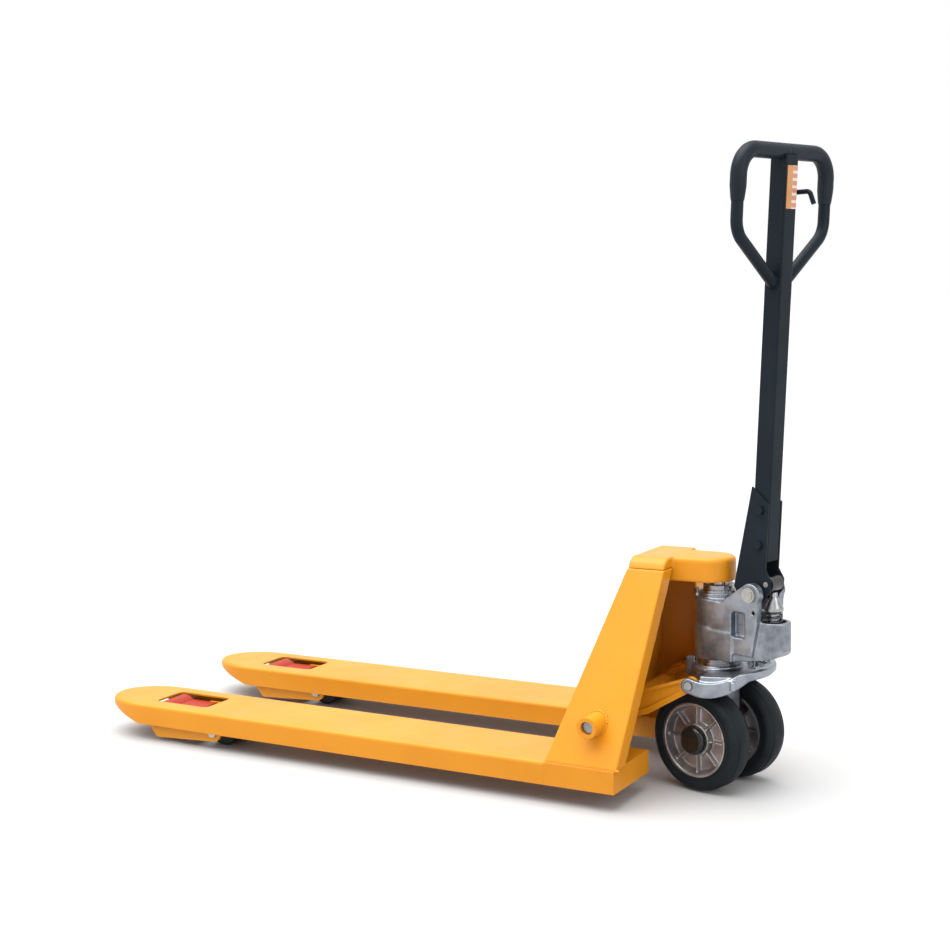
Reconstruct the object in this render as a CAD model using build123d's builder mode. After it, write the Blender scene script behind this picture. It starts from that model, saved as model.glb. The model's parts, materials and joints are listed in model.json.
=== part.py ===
from build123d import *
from math import asin, atan, cos, degrees, hypot, pi, radians, sin, sqrt
import os

# Hand pallet truck, 540 mm over the forks. Design frame: X = 0 at the fork tips and +X toward
# the operator, Y = 0 on the centre plane, Z = 0 on the floor. Everything is shifted along X at
# the end so that the origin lies under the middle of the whole truck.

# ---- fits ----
RUN = 0.05  # radial clearance of a shaft that turns in a bore
SIDE_PLAY = 0.5  # axial gap between pieces that turn on one shaft
OPEN_FIT = 0.5  # radial clearance of the opened front pivots of the push rods

# ---- lift linkage ----
LIFT = 115.0  # height the chassis rises
ARM = 147.0  # length of a rocker arm
SHAFT_X, SHAFT_Z, SHAFT_R = 1206.0, 156.0, 12.5
HALF_SWING = asin(LIFT / 2 / ARM)
SWING = 2 * HALF_SWING
PIN_X = SHAFT_X + ARM * cos(HALF_SWING)
PIN_Z = SHAFT_Z + LIFT / 2
PIN_R = 8.0

# ---- forks ----
OVERALL_WIDTH = 540.0
FORK_WIDTH = 160.0
FORK_TOP, FORK_BOTTOM, FORK_PLATE = 80.0, 35.0, 4.0
FORK_EDGE = 8.0
FORK_Y = (OVERALL_WIDTH - FORK_WIDTH) / 2
FORK_END, HEEL_END = 1113.0, 1258.0
NOSE_LENGTH, NOSE_SOLID = 110.0, 60.0
HOLE_X, HOLE_LENGTH, HOLE_WIDTH, HOLE_CORNER = 208.0, 140.0, 88.0, 14.0
SLOT_FRONT, SLOT_REAR, SLOT_WIDTH = 1132.0, 1238.0, 70.0

# ---- legs and head ----
LEG_PLATE, LEG_FLANGE = 6.0, 38.0
LEG_TOP_Z, LEG_TOP_Y, LEG_TOP_FRONT, LEG_TOP_REAR = 448.0, 80.0, 1214.0, 1286.0
LEG_FOOT_REAR, LEG_TRIM = 1262.0, 426.0
HEAD_BOTTOM, HEAD_TOP, HEAD_HALF, HEAD_FRONT, HEAD_NOSE_X = 400.0, 447.0, 49.0, 1206.0, 1343.0
BOSS_R, BOSS_OUT, BOSS_LENGTH = 20.0, 275.0, 60.0

# ---- wheel frames, rollers and rods ----
FRAME_X, FRAME_Z = 153.0, 43.0
ROLLER_R, ROLLER_WIDTH = 37.0, 70.0
ENTRY_R, ENTRY_WIDTH = 31.0, 60.0
AXLE_DROP = FRAME_Z - ROLLER_R
AXLE_REACH = (LIFT + AXLE_DROP * (1 - cos(SWING))) / sin(SWING)
SMALL_SHAFT_R = 8.0
CHEEK_INNER, CHEEK = 64.0, 6.0
LUG = 28.0  # crank radius of both push-rod joints
LUG_X, LUG_Z = LUG * sin(HALF_SWING), -LUG * cos(HALF_SWING)
ROD_PIN_R = 5.0
PRONG_Y, PRONG = 44.0, 8.0
ROD_LOW, ROD_HIGH = 52.0, 68.0
GUARD_GAP, GUARD, GUARD_HALF, GUARD_Z = 1.3, 2.0, 37.0, 68.0

# ---- steered pump unit, measured from the pump axis ----
PUMP_X = 1360.0
STEER_REST = 15.0
WHEEL_R, WHEEL_WIDTH, WHEEL_INNER = 100.0, 56.0, 29.0
RIM_R, AXLE_R, BEARING_R, BEARING_WIDTH = 70.0, 10.0, 23.5, 14.0
NECK_R, PUMP_FLOOR = 36.0, 250.0
LEDGE_Z, SHOULDER_Z, CROWN_Z, COLLAR_TOP = 314.0, 368.0, 378.0, 394.0
BODY_R, UPPER_R, CROWN_R, COLLAR_R, RAM_R = 47.0, 44.5, 38.0, 30.0, 17.5
RAM_GAP = 1.0
EAR_X, EAR_Z, EAR_R, EAR_IN, EAR_OUT = 101.0, 388.0, 21.0, 27.0, 45.0
PIVOT_R = 10.0
PLUNGER_X, BOSS_TOP, BOSS_FLOOR, PLUNGER_BOSS_R = 126.0, 335.0, 300.0, 30.0
CAP_R, CAP_Z, CAP_PLATE = 18.0, 361.0, 6.0

# ---- bearing yoke ----
YOKE_LOW, YOKE_HIGH, YOKE_BOSS_R = 206.0, 238.0, 50.0
YOKE_FRONT_LOW, YOKE_FRONT_HIGH, YOKE_WEB = 228.0, 241.0, 222.0
ROCKER_IN, ROCKER_ARM = 92.0, 10.0
YOKE_ARM = 12.0
YOKE_IN = ROCKER_IN + ROCKER_ARM + 1.0

# ---- handle, measured from its pivot ----
LEAN = 3.3
TUBE_X, TUBE_Y, TUBE_WALL, TUBE_FOOT = 36.0, 38.0, 2.5, 62.0
TOP_BAR = 813.0
LOOP_R, LOOP_HALF, LOOP_WALL = 11.0, 139.0, 2.0
LOOP_ROOT, LOOP_BEND, LOOP_CORNER = 584.0, 668.0, 46.0
GRIP_R, GRIP_END, GRIP_SPLIT = 15.0, 722.0, 0.3
TUBE_HEAD = TOP_BAR - 6
CHEEK_PLATE = 4.0
ROLLER_X, ROLLER_Z, PRESS_R, PRESS_WIDTH = 20.3, 19.8, 15.0, 34.0
PRESS_GAP = 1.0
LEVER_Z = 740.0
LABEL_LOW, LABEL_HIGH = 711.0, 788.0

SIDES = {"left": -1, "right": 1}
os.makedirs("parts", exist_ok=True)


def side_plane(y):
    """Plane facing -Y at this y: local x is X, local y is Z."""
    return Plane(origin=(0, y, 0), x_dir=(1, 0, 0), z_dir=(0, -1, 0))


def slab(points, y, thickness, mode=Mode.ADD):
    """Plate of the given XZ outline, centred on y."""
    with BuildSketch(side_plane(y)) as outline:
        with BuildLine():
            Polyline(*points, close=True)
        make_face()
    extrude(outline.sketch, amount=thickness / 2, both=True, mode=mode)


def rod(x, y, z, radius, length, mode=Mode.ADD):
    """Round bar along Y, centred on the point."""
    with Locations(Location((x, y, z), (90, 0, 0))):
        Cylinder(radius, length, mode=mode)


def post(x, y, low, high, radius, mode=Mode.ADD):
    """Round bar along Z between two heights."""
    with Locations((x, y, (low + high) / 2)):
        Cylinder(radius, high - low, mode=mode)


def block(x0, x1, y0, y1, z0, z1, mode=Mode.ADD):
    """Box between two corners."""
    with Locations(((x0 + x1) / 2, (y0 + y1) / 2, (z0 + z1) / 2)):
        Box(x1 - x0, y1 - y0, z1 - z0, mode=mode)


pieces = []


def keep(label, built, place=Location()):
    """Note a finished piece in the design frame."""
    pieces.append((label, built.moved(place)))


# ================= chassis =================
def fork_outline(centre, inset, start, end):
    """Plan of a fork with its rounded nose, drawn in by inset and cut off ahead of start."""
    half = FORK_WIDTH / 2 - inset
    with BuildSketch(Plane(origin=(0, centre, FORK_BOTTOM))) as outline:
        with BuildLine():
            Polyline((NOSE_LENGTH, -half), (end, -half), (end, half), (NOSE_LENGTH, half))
            EllipticalCenterArc((NOSE_LENGTH, 0), NOSE_LENGTH - inset, half, start_angle=90, arc_size=180)
        make_face()
        with Locations((start - NOSE_LENGTH / 2, 0)):
            Rectangle(NOSE_LENGTH, FORK_WIDTH, mode=Mode.SUBTRACT)
    return outline.sketch


def build_fork(side):
    centre = side * FORK_Y
    with BuildPart() as fork:
        extrude(fork_outline(centre, 0, 0, FORK_END), amount=FORK_TOP - FORK_BOTTOM)
        top = fork.faces().sort_by(Axis.Z)[-1]
        rim = top.edges().sort_by(Axis.X)[:-1]
        fillet(rim, FORK_EDGE)
        cavity = fork_outline(centre, FORK_PLATE, NOSE_SOLID, FORK_END + FORK_PLATE)
        extrude(cavity, amount=FORK_TOP - FORK_BOTTOM - FORK_PLATE, mode=Mode.SUBTRACT)
        with BuildSketch(Plane(origin=(0, centre, FORK_BOTTOM))):
            with Locations((HOLE_X, 0)):
                RectangleRounded(HOLE_LENGTH, HOLE_WIDTH, HOLE_CORNER)
        extrude(amount=FORK_TOP, mode=Mode.SUBTRACT)
        under = [(-1, 1), (NOSE_LENGTH + 7, 1), (NOSE_LENGTH + 7, FORK_BOTTOM), (40, 61), (-1, 71)]
        slab(under, centre, FORK_WIDTH + 2, Mode.SUBTRACT)
        for hand in (-1, 1):
            inner = FORK_WIDTH / 2 - FORK_PLATE
            rod(FRAME_X, centre + hand * (inner - 1.5), FRAME_Z, SMALL_SHAFT_R + 4, 5)
            rod(FRAME_X, centre + hand * (inner - 2.5), FRAME_Z, SMALL_SHAFT_R, 5, Mode.SUBTRACT)
    return fork.part


def build_heel(side):
    centre = side * FORK_Y
    outer = FORK_WIDTH / 2
    inner = outer - FORK_PLATE
    with BuildPart() as heel:
        block(FORK_END, HEEL_END, centre - outer, centre + outer, FORK_BOTTOM, FORK_TOP)
        long_top = heel.edges().filter_by(Axis.X).sort_by(Axis.Z)[-2:]
        fillet(long_top, 3)
        block(
            FORK_END - 1,
            HEEL_END - FORK_PLATE,
            centre - inner,
            centre + inner,
            FORK_BOTTOM - 1,
            FORK_TOP - FORK_PLATE,
            Mode.SUBTRACT,
        )
        with BuildSketch(Plane(origin=(0, centre, FORK_BOTTOM))):
            with Locations(((SLOT_FRONT + SLOT_REAR) / 2, 0)):
                RectangleRounded(SLOT_REAR - SLOT_FRONT, SLOT_WIDTH, 10)
        extrude(amount=FORK_TOP, mode=Mode.SUBTRACT)
    return heel.part


LEG_RISE = LEG_TOP_Z - FORK_TOP
LEG_RUN = OVERALL_WIDTH / 2 - LEG_TOP_Y
LEG_SLANT = hypot(LEG_RISE, LEG_RUN)


def build_leg(side):
    plane = Plane(
        origin=(FORK_END, side * OVERALL_WIDTH / 2, FORK_TOP),
        x_dir=(1, 0, 0),
        z_dir=(0, -LEG_RISE, -side * LEG_RUN),
    )
    foot = LEG_FOOT_REAR - FORK_END
    front = LEG_TOP_FRONT - FORK_END
    rear = LEG_TOP_REAR - FORK_END
    outline = [(0.2, -5), (foot, -5), (rear, LEG_SLANT), (front, LEG_SLANT)]
    pocket = [(-9, -9), (foot - LEG_PLATE, -9), (rear - LEG_PLATE, LEG_SLANT + 9), (front - 9, LEG_SLANT + 9)]
    with BuildPart() as leg:
        with BuildSketch(plane):
            with BuildLine():
                Polyline(*outline, close=True)
            make_face()
        extrude(amount=side * LEG_FLANGE)
        inner_plane = plane.offset(side * LEG_PLATE)
        with BuildSketch(inner_plane):
            with BuildLine():
                Polyline(*pocket, close=True)
            make_face()
        extrude(amount=side * LEG_FLANGE, mode=Mode.SUBTRACT)
        block(1000, 1400, -300, 300, 0, FORK_TOP, Mode.SUBTRACT)
        block(1000, 1400, -300, 300, LEG_TRIM, 500, Mode.SUBTRACT)
        block(HEAD_FRONT, HEAD_NOSE_X, -HEAD_HALF, HEAD_HALF, HEAD_BOTTOM, HEAD_TOP, Mode.SUBTRACT)
        rod(SHAFT_X, side * 240, SHAFT_Z, BOSS_R, 120, Mode.SUBTRACT)
    return leg.part


for name, side in SIDES.items():
    keep(f"fork_{name}", build_fork(side))
    keep(f"heel_{name}", build_heel(side))
    keep(f"leg_{name}", build_leg(side))

lean_out = LEG_PLATE * LEG_SLANT / LEG_RISE
panel_step = (LEG_TOP_FRONT - FORK_END) / LEG_RISE
panel_top = LEG_TRIM - 3
panel_shift = panel_step * (panel_top - FORK_TOP)
panel_top_half = OVERALL_WIDTH / 2 - LEG_RUN * (panel_top - FORK_TOP) / LEG_RISE - lean_out
with BuildPart() as back_panel:
    slab(
        [
            (FORK_END + 1, FORK_TOP),
            (FORK_END + 6, FORK_TOP),
            (FORK_END + 6 + panel_shift, panel_top),
            (FORK_END + 1 + panel_shift, panel_top),
        ],
        0,
        OVERALL_WIDTH,
    )
    with BuildSketch(Plane.YZ.offset(FORK_END - 10)):
        with BuildLine():
            Polyline(
                (-OVERALL_WIDTH / 2 + lean_out, FORK_TOP),
                (OVERALL_WIDTH / 2 - lean_out, FORK_TOP),
                (panel_top_half, panel_top),
                (-panel_top_half, panel_top),
                close=True,
            )
        make_face()
    extrude(amount=200, mode=Mode.INTERSECT)
keep("back_panel", back_panel.part)

cap_half = OVERALL_WIDTH / 2 - LEG_RUN * (LEG_TRIM - FORK_TOP) / LEG_RISE
with BuildPart() as head_bracket:
    with BuildSketch(Plane.XY.offset(HEAD_BOTTOM)):
        with BuildLine():
            Polyline(
                (HEAD_NOSE_X, -HEAD_HALF),
                (HEAD_FRONT + 8, -HEAD_HALF),
                (HEAD_FRONT + 8, HEAD_HALF),
                (HEAD_NOSE_X, HEAD_HALF),
            )
            ThreePointArc((HEAD_NOSE_X, HEAD_HALF), (HEAD_NOSE_X + HEAD_HALF, 0), (HEAD_NOSE_X, -HEAD_HALF))
        make_face()
    extrude(amount=HEAD_TOP - HEAD_BOTTOM)
    nose_rim = head_bracket.edges().filter_by(GeomType.CIRCLE).sort_by(Axis.Z)[-1]
    fillet(nose_rim, 9)
    with BuildSketch(Plane.YZ.offset(HEAD_FRONT + 4)):
        with BuildLine():
            Polyline(
                (cap_half, LEG_TRIM),
                (cap_half - 7, LEG_TRIM + 12),
                (cap_half - 22, HEAD_TOP),
                (22 - cap_half, HEAD_TOP),
                (7 - cap_half, LEG_TRIM + 12),
                (-cap_half, LEG_TRIM),
                (LEG_PLATE - cap_half, LEG_TRIM),
                (26 - cap_half, HEAD_TOP - LEG_PLATE - 2),
                (cap_half - 26, HEAD_TOP - LEG_PLATE - 2),
                (cap_half - LEG_PLATE, LEG_TRIM),
                close=True,
            )
        make_face()
    extrude(amount=LEG_TOP_REAR - HEAD_FRONT - 6)
    with BuildSketch(Plane.YZ.offset(LEG_TOP_REAR - 8)):
        with BuildLine():
            Polyline(
                (cap_half - 4, LEG_TRIM),
                (cap_half - 24, HEAD_TOP - 4),
                (24 - cap_half, HEAD_TOP - 4),
                (4 - cap_half, LEG_TRIM),
                close=True,
            )
        make_face()
    extrude(amount=6)
    block(HEAD_FRONT, HEAD_NOSE_X, -HEAD_HALF + 9, HEAD_HALF - 9, HEAD_BOTTOM + 12, HEAD_TOP - 9, Mode.SUBTRACT)
keep("head_bracket", head_bracket.part)

with BuildPart() as cross_shaft:
    rod(SHAFT_X, 0, SHAFT_Z, SHAFT_R, 2 * BOSS_OUT - 16)
    chamfer(cross_shaft.edges().filter_by(GeomType.CIRCLE), 1.5)
keep("cross_shaft", cross_shaft.part)

with BuildPart() as shaft_bosses:
    for side in SIDES.values():
        rod(SHAFT_X, side * (BOSS_OUT - BOSS_LENGTH / 2), SHAFT_Z, BOSS_R, BOSS_LENGTH)
        rod(SHAFT_X, side * (BOSS_OUT - BOSS_LENGTH / 2), SHAFT_Z, SHAFT_R, BOSS_LENGTH + 2, Mode.SUBTRACT)
keep("shaft_bosses", shaft_bosses.part)

with BuildPart() as front_shafts:
    for side in SIDES.values():
        rod(FRAME_X, side * FORK_Y, FRAME_Z, SMALL_SHAFT_R, FORK_WIDTH - 2 * FORK_PLATE)
keep("front_shafts", front_shafts.part)


# ================= rocker =================
def arm_outline(inset):
    reach = 14 - inset
    return [
        (SHAFT_X - 6, SHAFT_Z + 20 - inset),
        (SHAFT_X + 30, SHAFT_Z + 36 - inset),
        (PIN_X, PIN_Z + reach),
        (PIN_X, PIN_Z - reach),
        (SHAFT_X + 46, SHAFT_Z - 10 + inset),
        (SHAFT_X + 6, SHAFT_Z - 22 + inset),
        (SHAFT_X - 6, SHAFT_Z - 20 + inset),
    ]


TUBE_R = 21.0
with BuildPart() as rocker:
    rod(SHAFT_X, 0, SHAFT_Z, TUBE_R, 2 * (BOSS_OUT - BOSS_LENGTH) - 4)
    for side in SIDES.values():
        arm_y = side * (ROCKER_IN + ROCKER_ARM / 2)
        slab(arm_outline(0), arm_y, ROCKER_ARM)
        rod(PIN_X, arm_y, PIN_Z, 14, ROCKER_ARM)
        for hand in (-1, 1):
            recess = [
                (SHAFT_X + 24, SHAFT_Z + 25),
                (SHAFT_X + 34, SHAFT_Z + 30),
                (PIN_X - 22, PIN_Z + 1),
                (PIN_X - 22, PIN_Z - 15),
                (SHAFT_X + 50, SHAFT_Z + 6),
                (SHAFT_X + 24, SHAFT_Z - 6),
            ]
            slab(recess, arm_y + hand * ROCKER_ARM / 2, 7, Mode.SUBTRACT)
        rod(PIN_X, arm_y, PIN_Z, PIN_R + RUN, ROCKER_ARM + 2, Mode.SUBTRACT)
        for hand in (-1, 1):
            lug_y = side * FORK_Y + hand * 10
            with BuildSketch(side_plane(lug_y)):
                with Locations((SHAFT_X, SHAFT_Z)):
                    Circle(TUBE_R + 5)
                with Locations((SHAFT_X + LUG_X, SHAFT_Z + LUG_Z)):
                    Circle(11)
                make_hull()
            extrude(amount=4, both=True)
            rod(SHAFT_X + LUG_X, lug_y, SHAFT_Z + LUG_Z, ROD_PIN_R, 12, Mode.SUBTRACT)
        block(
            SHAFT_X - 40,
            SHAFT_X + 60,
            side * FORK_Y - 6,
            side * FORK_Y + 6,
            SHAFT_Z - 60,
            SHAFT_Z - SHAFT_R - 1,
            Mode.SUBTRACT,
        )
    rod(SHAFT_X, 0, SHAFT_Z, SHAFT_R + RUN, 2 * BOSS_OUT, Mode.SUBTRACT)
keep("rocker", rocker.part)

with BuildPart() as rod_pins:
    for side in SIDES.values():
        rod(SHAFT_X + LUG_X, side * FORK_Y, SHAFT_Z + LUG_Z, ROD_PIN_R, 32)
keep("rod_pins", rod_pins.part)


# ================= push rods and wheel frames =================
def build_push_rod(side):
    centre = side * FORK_Y
    rear_x, rear_z = SHAFT_X + LUG_X, SHAFT_Z + LUG_Z
    front_x, front_z = FRAME_X + LUG_X, FRAME_Z + LUG_Z
    cross_x = FRAME_X + AXLE_REACH + ROLLER_R + 34
    knee_x = rear_x - 52
    with BuildPart() as push_rod:
        slab(
            [
                (cross_x - 8, ROD_LOW),
                (knee_x + 6, ROD_LOW),
                (rear_x + 7, rear_z - 4),
                (rear_x - 7, rear_z + 4),
                (knee_x - 6, ROD_HIGH),
                (cross_x - 8, ROD_HIGH),
            ],
            centre,
            8,
        )
        rod(rear_x, centre, rear_z, 10, 8)
        block(cross_x - 8, knee_x - 30, centre - 8, centre + 8, ROD_LOW, ROD_HIGH)
        block(cross_x - 8, cross_x + 8, centre - PRONG_Y, centre + PRONG_Y, ROD_LOW, ROD_HIGH)
        for hand in (-1, 1):
            slab(
                [
                    (cross_x + 8, ROD_LOW),
                    (cross_x + 8, ROD_HIGH),
                    (front_x + 56, ROD_HIGH),
                    (front_x + 44, front_z + 9),
                    (front_x, front_z + 9),
                    (front_x, front_z - 9),
                    (front_x + 52, front_z - 9),
                    (front_x + 70, ROD_LOW),
                ],
                centre + hand * PRONG_Y,
                PRONG,
            )
            rod(front_x, centre + hand * PRONG_Y, front_z, 9, PRONG)
            rod(front_x, centre + hand * PRONG_Y, front_z, ROD_PIN_R + OPEN_FIT, PRONG + 2, Mode.SUBTRACT)
        rod(rear_x, centre, rear_z, ROD_PIN_R + RUN, 12, Mode.SUBTRACT)
    return push_rod.part


def build_wheel_frame(side):
    centre = side * FORK_Y
    axle_x = FRAME_X + AXLE_REACH
    pin_x, pin_z = FRAME_X + LUG_X, FRAME_Z + LUG_Z
    with BuildPart() as frame:
        for hand in (-1, 1):
            cheek_y = centre + hand * (CHEEK_INNER + CHEEK / 2)
            with BuildSketch(side_plane(cheek_y)):
                with Locations((FRAME_X, FRAME_Z)):
                    Circle(17)
                with Locations((axle_x, ROLLER_R)):
                    Circle(21)
                with Locations((pin_x, pin_z)):
                    Circle(9)
                make_hull()
            extrude(amount=CHEEK / 2, both=True)
            rod(pin_x, centre + hand * (PRONG_Y + 9), pin_z, ROD_PIN_R, 27)
            rod(FRAME_X, cheek_y, FRAME_Z, SMALL_SHAFT_R + RUN, CHEEK + 2, Mode.SUBTRACT)
            rod(axle_x, cheek_y, ROLLER_R, SMALL_SHAFT_R, CHEEK + 2, Mode.SUBTRACT)
        block(
            axle_x - ROLLER_R - 38,
            axle_x - ROLLER_R - 16,
            centre - CHEEK_INNER,
            centre + CHEEK_INNER,
            24,
            31,
        )
    return frame.part


for name, side in SIDES.items():
    centre = side * FORK_Y
    axle_x = FRAME_X + AXLE_REACH
    keep(f"push_rod_{name}", build_push_rod(side))
    keep(f"wheel_frame_{name}", build_wheel_frame(side))
    outer = CHEEK_INNER + CHEEK
    with BuildPart() as load_axle:
        rod(axle_x, centre, ROLLER_R, SMALL_SHAFT_R, 2 * outer)
        for hand in (-1, 1):
            head = Plane(origin=(axle_x, centre + hand * outer, ROLLER_R), x_dir=(1, 0, 0), z_dir=(0, hand, 0))
            with BuildSketch(head):
                RegularPolygon(12, 6)
            extrude(amount=4.5)
    keep(f"load_axle_{name}", load_axle.part)
    with BuildPart() as load_roller:
        rod(axle_x, centre, ROLLER_R, ROLLER_R, ROLLER_WIDTH)
        fillet(load_roller.edges().filter_by(GeomType.CIRCLE), 3)
        rod(axle_x, centre, ROLLER_R, SMALL_SHAFT_R + RUN, ROLLER_WIDTH + 2, Mode.SUBTRACT)
    keep(f"load_roller_{name}", load_roller.part)
    with BuildPart() as entry_roller:
        rod(FRAME_X, centre, FRAME_Z, ENTRY_R, ENTRY_WIDTH)
        fillet(entry_roller.edges().filter_by(GeomType.CIRCLE), 3)
        rod(FRAME_X, centre, FRAME_Z, SMALL_SHAFT_R + RUN, ENTRY_WIDTH + 2, Mode.SUBTRACT)
    keep(f"entry_roller_{name}", entry_roller.part)
    web_x = axle_x - ROLLER_R - 38
    with BuildPart() as guard:
        with BuildSketch(side_plane(centre)):
            with Locations((FRAME_X, FRAME_Z)):
                Circle(ENTRY_R + GUARD_GAP + GUARD)
                Circle(ENTRY_R + GUARD_GAP, mode=Mode.SUBTRACT)
            with Locations((FRAME_X - 54, FRAME_Z)):
                Rectangle(100, 100, mode=Mode.SUBTRACT)
            with Locations((FRAME_X, FRAME_Z - 42)):
                Rectangle(100, 100, mode=Mode.SUBTRACT)
        extrude(amount=GUARD_HALF, both=True)
        block(FRAME_X + 22.5, web_x + GUARD, centre - GUARD_HALF, centre + GUARD_HALF, GUARD_Z - GUARD, GUARD_Z)
        block(web_x, web_x + GUARD, centre - GUARD_HALF, centre + GUARD_HALF, 31, GUARD_Z)
    keep(f"roller_guard_{name}", guard.part)


# ================= bearing yoke (design frame) =================
yoke_outer = YOKE_IN + YOKE_ARM
YOKE_END_R = 15.0
with BuildPart() as bearing_yoke:
    with BuildSketch(Plane.XY.offset(PIN_Z - 30)):
        with BuildLine():
            Polyline((PUMP_X, -yoke_outer), (PIN_X - YOKE_END_R, -yoke_outer), (PIN_X - YOKE_END_R, -YOKE_IN),
                     (PUMP_X, -YOKE_IN))
            ThreePointArc((PUMP_X, -YOKE_IN), (PUMP_X + YOKE_IN - 6, 0), (PUMP_X, YOKE_IN))
            Polyline((PUMP_X, YOKE_IN), (PIN_X - YOKE_END_R, YOKE_IN), (PIN_X - YOKE_END_R, yoke_outer),
                     (PUMP_X, yoke_outer))
            ThreePointArc((PUMP_X, yoke_outer), (PUMP_X + yoke_outer - 6, 0), (PUMP_X, -yoke_outer))
        make_face()
    extrude(amount=80)
    with BuildSketch(side_plane(0)) as smile:
        with BuildLine():
            ThreePointArc(
                (PIN_X, PIN_Z + YOKE_END_R),
                (PIN_X + 42, PIN_Z + 8),
                (PUMP_X + 72, YOKE_HIGH),
            )
            Polyline(
                (PUMP_X + 72, YOKE_HIGH),
                (PUMP_X + 130, YOKE_FRONT_HIGH),
                (PUMP_X + 130, YOKE_FRONT_LOW + 4),
                (PUMP_X + 84, YOKE_FRONT_LOW - 6),
            )
            ThreePointArc(
                (PUMP_X + 84, YOKE_FRONT_LOW - 6),
                (PIN_X + 46, PIN_Z - 20),
                (PIN_X, PIN_Z - YOKE_END_R),
            )
            ThreePointArc(
                (PIN_X, PIN_Z - YOKE_END_R),
                (PIN_X - YOKE_END_R, PIN_Z),
                (PIN_X, PIN_Z + YOKE_END_R),
            )
        make_face()
    extrude(amount=150, both=True, mode=Mode.INTERSECT)
    with BuildSketch(Plane.XY.offset(YOKE_WEB)):
        with Locations((PUMP_X, 0)):
            Circle(YOKE_IN + 1)
        with Locations((PUMP_X - 60, 0)):
            Rectangle(120, 240, mode=Mode.SUBTRACT)
        with Locations((PUMP_X, 0)):
            Circle(YOKE_BOSS_R)
    extrude(amount=10)
    post(PUMP_X, 0, YOKE_LOW, YOKE_HIGH, YOKE_BOSS_R - 4)
    block(PUMP_X - 62, PUMP_X - 44, -16, -4, YOKE_LOW + 4, YOKE_HIGH + 9)
    for side in SIDES.values():
        block(PUMP_X, PUMP_X + 12, side * 74 - 30, side * 74 + 30, YOKE_LOW, YOKE_WEB + 4)
        with Locations((PUMP_X + 46, side * 70, YOKE_WEB - 4)):
            Box(9, 74, 17, rotation=(0, 0, -side * 33))
    post(PUMP_X, 0, YOKE_LOW - 2, YOKE_HIGH + 2, NECK_R + RUN, Mode.SUBTRACT)
    for side in SIDES.values():
        rod(PIN_X, side * (YOKE_IN + YOKE_ARM / 2), PIN_Z, PIN_R, YOKE_ARM + 4, Mode.SUBTRACT)
keep("bearing_yoke", bearing_yoke.part)

with BuildPart() as yoke_pins:
    for side in SIDES.values():
        rod(PIN_X, side * (ROCKER_IN - 2 + (yoke_outer + 3 - ROCKER_IN) / 2), PIN_Z, PIN_R, yoke_outer + 3 - ROCKER_IN)
keep("yoke_pins", yoke_pins.part)

# ================= steered pump unit (pump frame: Z up the pump axis) =================
STEERED = Location((PUMP_X, 0, 0), (0, 0, -STEER_REST))
FOOT = 24.0
RELEASE_X, RELEASE_Z, RELEASE_R = 84.0, 249.5, 6.0

with BuildPart() as pump_housing:
    block(-32, 32, -FOOT, FOOT, WHEEL_R, YOKE_LOW - 1)
    rod(0, 0, WHEEL_R, 32, 2 * FOOT)
    post(0, 0, YOKE_LOW - 3, PUMP_FLOOR, NECK_R)
    post(0, 0, PUMP_FLOOR, LEDGE_Z, BODY_R)
    post(0, 0, LEDGE_Z, SHOULDER_Z, UPPER_R)
    post(0, 0, SHOULDER_Z, CROWN_Z, CROWN_R)
    with BuildSketch(Plane.XY.offset(PUMP_FLOOR + 4)):
        with Locations((30, 0)):
            Circle(EAR_OUT - 1)
        with Locations((PLUNGER_X + 2, 0)):
            Circle(PLUNGER_BOSS_R)
        make_hull()
    extrude(amount=BOSS_TOP - PUMP_FLOOR - 4)
    slab([(60, 200), (200, 200), (200, PUMP_FLOOR + 70), (142, PUMP_FLOOR + 18), (120, PUMP_FLOOR + 12),
          (60, PUMP_FLOOR + 4)], 0, 120, Mode.SUBTRACT)
    block(0, 62, -BODY_R, BODY_R, PUMP_FLOOR + 3, LEDGE_Z - 4)
    web = (EAR_IN + EAR_OUT) / 2
    for side in (-1, 1):
        ear = [
            (0, PUMP_FLOOR + 20),
            (0, SHOULDER_Z - 1),
            (36, SHOULDER_Z - 1),
            (50, CROWN_Z),
            (EAR_X - 15, EAR_Z + 15),
            (EAR_X, EAR_Z),
            (EAR_X + EAR_R, EAR_Z),
            (EAR_X + EAR_R - 4, EAR_Z - 16),
            (EAR_X + 16, BOSS_TOP - 4),
            (EAR_X + 4, PUMP_FLOOR + 20),
        ]
        slab(ear, side * web, EAR_OUT - EAR_IN)
        rod(EAR_X, side * web, EAR_Z, EAR_R, EAR_OUT - EAR_IN)
        with BuildSketch(side_plane(side * EAR_OUT)):
            with Locations((75, 327)):
                RectangleRounded(30, 48, 6)
        extrude(amount=14, both=True, mode=Mode.SUBTRACT)
        rod(EAR_X, side * web, EAR_Z, PIVOT_R, 30, Mode.SUBTRACT)
        rod(EAR_X + 8, side * web, EAR_Z - 34, 3.5, 30, Mode.SUBTRACT)
        block(RELEASE_X - 8, RELEASE_X + 8, side * 12 - 3, side * 12 + 3, RELEASE_Z - 10, PUMP_FLOOR + 12)
    rod(RELEASE_X, 0, RELEASE_Z, RELEASE_R + RUN, 40, Mode.SUBTRACT)
    block(UPPER_R - 14, EAR_X - 8, -EAR_IN, EAR_IN, BOSS_TOP - 4, BOSS_TOP + 10)
    post(PLUNGER_X, 0, BOSS_FLOOR, BOSS_TOP + 30, PLUNGER_BOSS_R - 7, Mode.SUBTRACT)
    post(PLUNGER_X, 0, BOSS_FLOOR - 34, BOSS_FLOOR, 12, Mode.SUBTRACT)
    post(0, 0, PUMP_FLOOR + 8, CROWN_Z + 1, RAM_R + 0.5, Mode.SUBTRACT)
    rod(0, 0, WHEEL_R, AXLE_R, 2 * FOOT + 2, Mode.SUBTRACT)
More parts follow.
